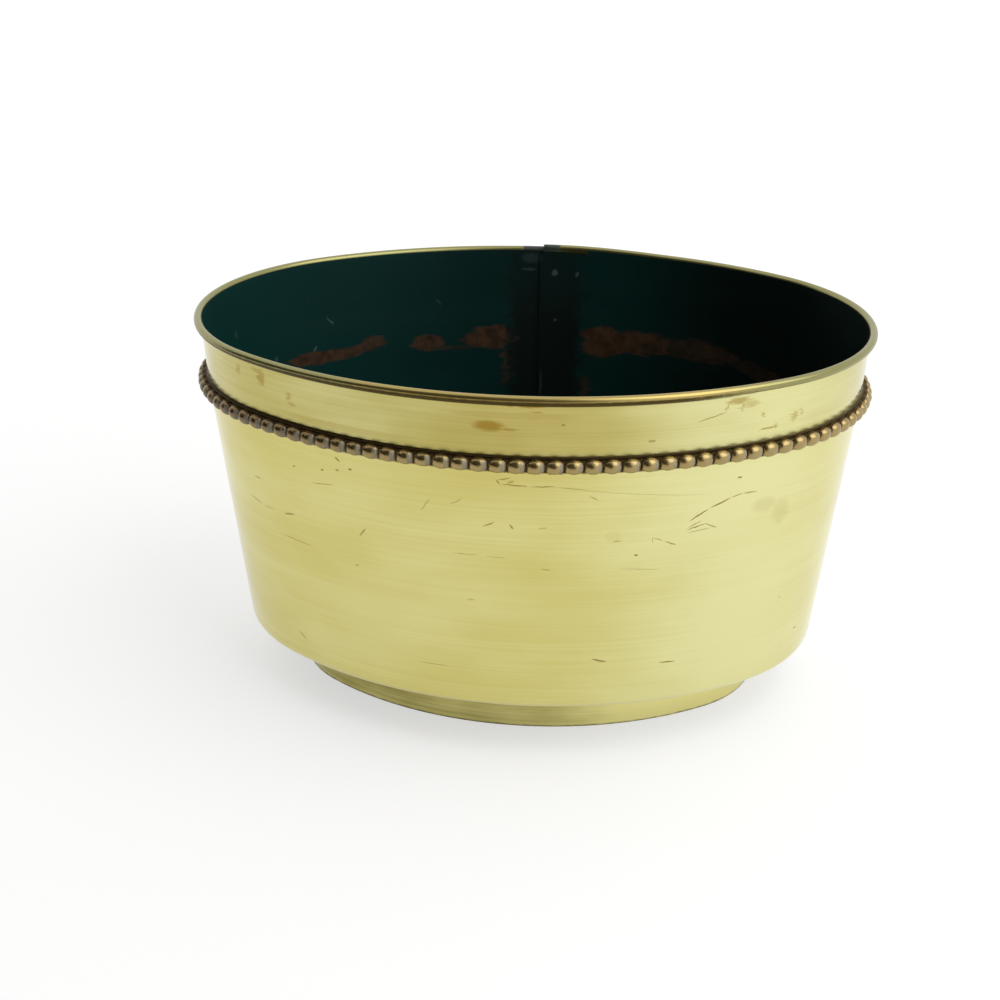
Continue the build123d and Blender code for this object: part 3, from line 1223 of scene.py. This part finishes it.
    def dress(self, finishes: dict[WallFace, bpy.types.Material], steel: bpy.types.Material) -> None:
        """Puts the finishes on and takes the place of the plain wall and wire.

        Args:
            finishes: The wall's finishes.
            steel: The wire's finish.
        """
        sheet, wire = self.pieces["wall"], self.pieces["wire"]
        for face in WallFace:
            sheet.data.materials.append(finishes[face])
        self.lay_out(sheet)
        wire.data.materials.append(steel)
        settle(sheet, "polished_brass", "wall_sheet")
        settle(wire, "wire_steel", "rim_wire")


@dataclass
class BeadedStrip:
    """The strip round the wall: two thin lips, a groove inside each that is darkened with old polish and
    painted shade, and a row of beads.
    """

    oval: Oval
    wall: Wall
    facet: float = 2.4 * MM
    bead_count: int = 110
    bead_diameter: float = 4.9 * MM
    bead_seat: float = 1.2 * MM
    bead_segments: int = 16
    bead_rings: int = 10
    lap_gap: float = 0.22 * MM
    half_height: float = 2.8 * MM
    lip_height: float = 0.55 * MM
    lip_thickness: float = 0.75 * MM
    groove_thickness: float = 0.4 * MM
    web_half_height: float = 1.9 * MM
    web_thickness: float = 1.7 * MM
    bead_stretch: tuple[float, float, float] = (1.0, 1.18, 1.04)
    bead_squareness: float = 0.45
    unevenness: float = 0.03
    seed: int = 11
    piece: bpy.types.Object | None = None

    def profile(self) -> Profile:
        """The strip's section, up its front and down its back.

        Returns:
            The section's corners.
        """
        wall = self.wall
        lip = self.half_height - self.lip_height
        bevel = self.lip_height / 4
        front = [
            (-self.half_height, self.groove_thickness),
            (-self.half_height + bevel, self.lip_thickness),
            (-lip - bevel, self.lip_thickness),
            (-lip, self.groove_thickness),
            (-self.web_half_height - bevel, self.groove_thickness),
            (-self.web_half_height, self.web_thickness),
            (0.0, self.web_thickness + bevel),
            (self.web_half_height, self.web_thickness),
            (self.web_half_height + bevel, self.groove_thickness),
            (lip, self.groove_thickness),
            (lip + bevel, self.lip_thickness),
            (self.half_height - bevel, self.lip_thickness),
            (self.half_height, self.groove_thickness),
        ]
        section = [(wall.reach(wall.bead_height + up, -out), wall.bead_height + up) for up, out in front]
        for up in (self.half_height, 0.0, -self.half_height):
            section.append((wall.reach(wall.bead_height + up, -self.lap_gap), wall.bead_height + up))
        return section

    def bead(self) -> bpy.types.Object:
        """One bead at the origin: a ball with its pole outwards along X and its back cut flat.

        Returns:
            The bead.
        """
        clear_selection()
        bpy.ops.mesh.primitive_uv_sphere_add(
            segments=self.bead_segments, ring_count=self.bead_rings, radius=self.bead_diameter / 2
        )
        ball = bpy.context.object
        ball.name = "bead"
        bpy.ops.object.mode_set(mode="EDIT")
        bpy.ops.mesh.select_all(action="SELECT")
        bpy.ops.transform.rotate(value=math.pi / 2, orient_axis="Y", center_override=(0.0, 0.0, 0.0))
        bpy.ops.mesh.bisect(
            plane_co=(self.lap_gap - self.bead_seat, 0.0, 0.0),
            plane_no=(1.0, 0.0, 0.0),
            clear_inner=True,
            use_fill=True,
        )
        bpy.ops.object.mode_set(mode="OBJECT")
        barrel = ball.modifiers.new("barrel", "CAST")
        barrel.cast_type = "CUBOID"
        barrel.use_x = False
        barrel.use_z = False
        barrel.factor = self.bead_squareness
        bpy.ops.object.modifier_apply(modifier=barrel.name)
        return ball

    def places(self) -> list[Matrix]:
        """The beads' places, evenly spaced from one end of the strip to the other.

        Returns:
            A place and a turn for each bead.
        """
        reach = self.wall.reach(self.wall.bead_height) + self.bead_seat
        arcs = self.oval.open()
        row = sum(arc.length(reach) for arc in arcs)
        found = []
        for bead in range(self.bead_count):
            distance = row * (bead + 0.5) / self.bead_count
            for arc in arcs:
                if distance <= arc.length(reach):
                    break
                distance -= arc.length(reach)
            angle = distance / (arc.radius + reach)
            turn = Matrix.Rotation(arc.start + angle, 4, "Z")
            found.append(Matrix.Translation(arc.point(reach, self.wall.bead_height, angle)) @ turn)
        return found

    def build(self) -> None:
        """Builds the strip, and copies the bead along it with the small unevenness of stamped work."""
        draw = random.Random(self.seed)
        strip = sweep("beaded_band", self.profile(), self.oval.open(), self.facet)
        close_up(strip)
        first = self.bead()
        beads = []
        for place in self.places():
            bead = first.copy()
            bead.data = first.data.copy()
            bpy.context.collection.objects.link(bead)
            spin = Matrix.Rotation(draw.choice((0.0, math.pi)), 4, "X")
            bead.data.transform(spin)
            self.measure_flanks(bead.data)
            spread = self.unevenness
            size = [each * (1 + draw.uniform(-spread, spread)) for each in self.bead_stretch]
            bead.data.transform(place @ Matrix.Diagonal((*size, 1.0)))
            beads.append(bead)
        bpy.data.objects.remove(first)
        for bead in beads:
            bead.data.shade_smooth()
        self.piece = join([strip, *beads])
        self.measure()

    def measure_flanks(self, mesh: bpy.types.Mesh) -> None:
        """Keeps how far each point of a bead at the origin lies along the row, from -1 to 1."""
        sides = [2 * vertex.co.y / self.bead_diameter for vertex in mesh.vertices]
        mesh.attributes.new("flank", "FLOAT", "POINT").data.foreach_set("value", sides)

    def measure(self) -> None:
        """Keeps how far each point stands out from the wall, in millimetres, for the finish to read."""
        mesh = self.piece.data
        heights = []
        for vertex in mesh.vertices:
            heights.append((self.oval.reach(vertex.co) - self.wall.reach(vertex.co.z)) / MM)
        mesh.attributes.new("stands_out", "FLOAT", "POINT").data.foreach_set("value", heights)

    def dress(self, brass: bpy.types.Material) -> None:
        """Puts the finish on and takes the place of the plain strip."""
        self.piece.data.materials.append(brass)
        settle(self.piece, "aged_brass", "beaded_strip")


@dataclass
class FootRing:
    """The flared ring that the pot stands on."""

    oval: Oval
    wall: Wall
    facet: float = 2.4 * MM
    inset: float = 20.0 * MM
    thickness: float = 0.9 * MM
    flare: float = math.radians(5)
    edge_radius: float = 0.3 * MM
    edge_steps: int = 3
    edge_rise: float = 2.0 * MM
    piece: bpy.types.Object | None = None

    def reach(self, height: float, depth: float = 0.0) -> float:
        """The ring's reach at a height, at a depth in from its outer face."""
        top = self.wall.reach(self.wall.foot_height) - self.inset
        return top - depth - height * math.tan(self.flare)

    def profile(self) -> Profile:
        """The ring's section, with its standing edge rounded.

        Returns:
            The section's corners.
        """
        edge = self.edge_radius
        high = self.wall.base_bottom
        outer = (self.reach(edge) - edge, edge)
        inner = (self.reach(edge, self.thickness) + edge, edge)
        section = arc_points(inner, edge, -math.pi, -math.pi / 2, self.edge_steps)
        section += arc_points(outer, edge, -math.pi / 2, 0.0, self.edge_steps)
        rise = self.edge_rise
        section += [(self.reach(rise), rise), (self.reach(high), high)]
        section += [(self.reach(high, self.thickness), high), (self.reach(rise, self.thickness), rise)]
        return section

    def build(self) -> None:
        """Builds the ring."""
        self.piece = sweep("foot", self.profile(), self.oval.open(), self.facet)
        close_up(self.piece)

    def dress(self, brass: bpy.types.Material) -> None:
        """Puts the finish on and takes the place of the plain ring."""
        self.piece.data.materials.append(brass)
        settle(self.piece, "foot_brass", "foot_ring")


def settle(piece: bpy.types.Object, slot: str, *nodes: str) -> None:
    """Makes a piece part of the pot.

    Args:
        piece: The finished piece.
        slot: Not used.
        nodes: The plain nodes that it stands for.
    """
    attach(piece, "root")
    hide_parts(*nodes)


# The stage: floor, lamps, cards and camera.


@dataclass(frozen=True)
class Lamp:
    """A square soft lamp that looks at the pot."""

    name: str
    place: Vector
    side: float
    power: float

    def set_up(self, target: Vector) -> None:
        """Hangs the lamp and turns it to a point.

        Args:
            target: The point.
        """
        data = bpy.data.lights.new(self.name, "AREA")
        data.size = self.side
        data.energy = self.power
        lamp = bpy.data.objects.new(self.name, data)
        lamp.location = self.place
        lamp.rotation_euler = (target - self.place).to_track_quat("-Z", "Y").to_euler()
        bpy.context.scene.collection.objects.link(lamp)


@dataclass(frozen=True)
class Card:
    """A dull standing card that the brass mirrors and the camera doesn't see."""

    name: str
    place: Vector
    width: float
    height: float
    tilt: float
    turn: float
    tone: Colour = (0.10, 0.09, 0.07)
    mottle: float = 0.8
    mottle_size: float = 300.0
    roughness: float = 0.9

    def set_up(self) -> None:
        """Puts the card in its place."""
        clear_selection()
        bpy.ops.mesh.primitive_plane_add(size=1.0)
        card = bpy.context.object
        card.name = self.name
        card.scale = (self.width, self.height, 1.0)
        card.rotation_euler = (self.tilt, 0.0, self.turn)
        card.location = self.place
        card.visible_camera = False
        shade = Shade(self.name)
        mottled = shade.noise(self.mottle_size)
        tone = shade.mix(mottled, self.tone, tuple(self.mottle * part for part in self.tone))
        card.data.materials.append(shade.finish(Base_Color=tone, Roughness=self.roughness))
        card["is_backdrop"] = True


@dataclass(frozen=True)
class Studio:
    """A white room with one soft lamp on the right, and what the brass mirrors in front of it.

    That is two dark, matt cards and a darker tan patch of the floor, a painted shadow, whose place is in
    millimetres.
    """

    floor_side: float = 9.0
    floor_tone: float = 0.45
    mottle: float = 0.985
    mottle_size: float = 120.0
    painted_shadow_tone: Colour = (0.34, 0.28, 0.12)
    painted_shadow_left: float = -40.0
    painted_shadow_right: float = 60.0
    painted_shadow_fade: float = 220.0
    painted_shadow_start: float = -222.0
    painted_shadow_full: float = -262.0
    lift: float = 0.60
    fill: float = 0.95
    target: Vector = Vector((0.0, 0.0, 0.06))
    lamps: tuple[Lamp, ...] = (Lamp("key", Vector((0.80, -0.42, 1.05)), 1.2, 8.0),)
    cards: tuple[Card, ...] = (
        Card("front_card", Vector((-0.52, -0.66, 0.85)), 1.55, 1.7, math.pi / 2, 0.0),
        Card("left_card", Vector((-1.15, -0.22, 0.45)), 0.88, 0.9, math.pi / 2, math.pi / 2),
    )

    def set_up(self) -> None:
        """Sets the whole stage."""
        self.lay_floor()
        self.light_room()
        for lamp in self.lamps:
            lamp.set_up(self.target)
        for card in self.cards:
            card.set_up()
        bpy.context.scene.view_settings.view_transform = "Standard"

    def lay_floor(self) -> None:
        """Lays a floor that is lifted towards white where it is seen or mirrored, and keeps the shadow."""
        clear_selection()
        bpy.ops.mesh.primitive_plane_add(size=self.floor_side)
        floor = bpy.context.object
        floor.name = "floor"
        shade = Shade("pale_floor")
        darker = self.floor_tone * self.mottle
        tone = shade.mix(shade.noise(self.mottle_size), (self.floor_tone,) * 3, (darker,) * 3)
        # Painted shadow: a darker tan patch on the floor in front of the pot, for the brass to mirror.
        dull_and_shaded = shade.x.band(self.painted_shadow_left, self.painted_shadow_right, self.painted_shadow_fade)
        dull_and_shaded = dull_and_shaded * shade.y.ramp(self.painted_shadow_start, self.painted_shadow_full)
        tone = shade.mix(dull_and_shaded, tone, self.painted_shadow_tone)
        path = shade.node("ShaderNodeLightPath").outputs
        seen = Value(shade, path["Is Camera Ray"])
        for ray in ("Is Glossy Ray", "Is Transmission Ray"):
            seen = seen | Value(shade, path[ray])
        matt = shade.node("ShaderNodeBsdfDiffuse", {}, {"Color": tone})
        glow = shade.node("ShaderNodeEmission", {}, {"Strength": seen * self.lift})
        both = shade.node("ShaderNodeAddShader", {}, {0: matt.outputs[0], 1: glow.outputs[0]})
        shade.node("ShaderNodeOutputMaterial", {}, {"Surface": both.outputs[0]})
        floor.data.materials.append(shade.material)
        floor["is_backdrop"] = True

    def light_room(self) -> None:
        """Makes the room white where it is seen or mirrored, and a soft fill elsewhere."""
        world = bpy.data.worlds.new("white_room")
        bpy.context.scene.world = world
        world.use_nodes = True
        nodes, links = world.node_tree.nodes, world.node_tree.links
        path = nodes.new("ShaderNodeLightPath")
        total = path.outputs["Is Camera Ray"]
        for ray in ("Is Glossy Ray", "Is Transmission Ray"):
            either = nodes.new("ShaderNodeMath")
            either.operation = "MAXIMUM"
            links.new(total, either.inputs[0])
            links.new(path.outputs[ray], either.inputs[1])
            total = either.outputs[0]
        level = nodes.new("ShaderNodeMapRange")
        level.inputs["To Min"].default_value = self.fill
        links.new(total, level.inputs["Value"])
        links.new(level.outputs[0], nodes["Background"].inputs["Strength"])
        nodes["Background"].inputs["Color"].default_value = (1.0, 1.0, 1.0, 1.0)


@dataclass(frozen=True)
class Viewpoint:
    """The photograph's camera."""

    place: Vector = Vector((59.8 * MM, -540.7 * MM, 298.3 * MM))
    heading: float = 0.1302
    pitch: float = 0.409
    roll: float = 0.006
    lens: float = 57.6
    sensor: float = 36.0
    clip_start: float = 10.0 * MM

    def set_up(self) -> None:
        """Makes the camera and gives it to the scene."""
        data = bpy.data.cameras.new("camera")
        data.lens = self.lens
        data.sensor_width = self.sensor
        data.clip_start = self.clip_start
        camera = bpy.data.objects.new("camera", data)
        bpy.context.scene.collection.objects.link(camera)
        turn = Matrix.Rotation(self.heading, 4, "Z") @ Matrix.Rotation(math.pi / 2 - self.pitch, 4, "X")
        camera.matrix_world = Matrix.Translation(self.place) @ turn @ Matrix.Rotation(self.roll, 4, "Z")
        bpy.context.scene.camera = camera


def main() -> None:
    """Builds and dresses the pot, then the stage round it."""
    logging.basicConfig(level=logging.INFO, format="%(name)s: %(message)s")
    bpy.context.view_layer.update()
    low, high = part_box("wall_sheet")
    size = high - low
    wall = Wall(overall_height=high.z)
    oval = Oval(
        half_length=size.x / 2 - wall.roll_radius,
        half_width=size.y / 2 - wall.roll_radius,
    )
    sheet = WallSheet(oval, wall)
    strip = BeadedStrip(oval, wall)
    foot = FootRing(oval, wall)
    for part in (sheet, strip, foot):
        part.build()
    paint = GreenPaint().material()
    solder = SoftSolder().material()
    finishes = {
        WallFace.BAND: BandBrass(wall).material(),
        WallFace.BODY: BodyBrass(wall).material(),
        WallFace.PAINT: paint,
    }
    sheet.dress(finishes, WireSteel().material())
    strip.dress(AgedBrass(wall).material())
    foot.dress(FootBrass(wall.foot_height).material())
    for name, material in (
        ("base_plate", paint),
        ("base_solder", paint),
        ("seam_solder", paint),
        ("strip_solder", solder),
        ("foot_solder", solder),
    ):
        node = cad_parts[name]
        node.data.materials.clear()
        node.data.materials.append(material)
    Studio().set_up()
    Viewpoint().set_up()
    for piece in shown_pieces():
        log.info("%s: %d faces", piece.name, len(piece.data.polygons))


if __name__ == "__main__":
    main()
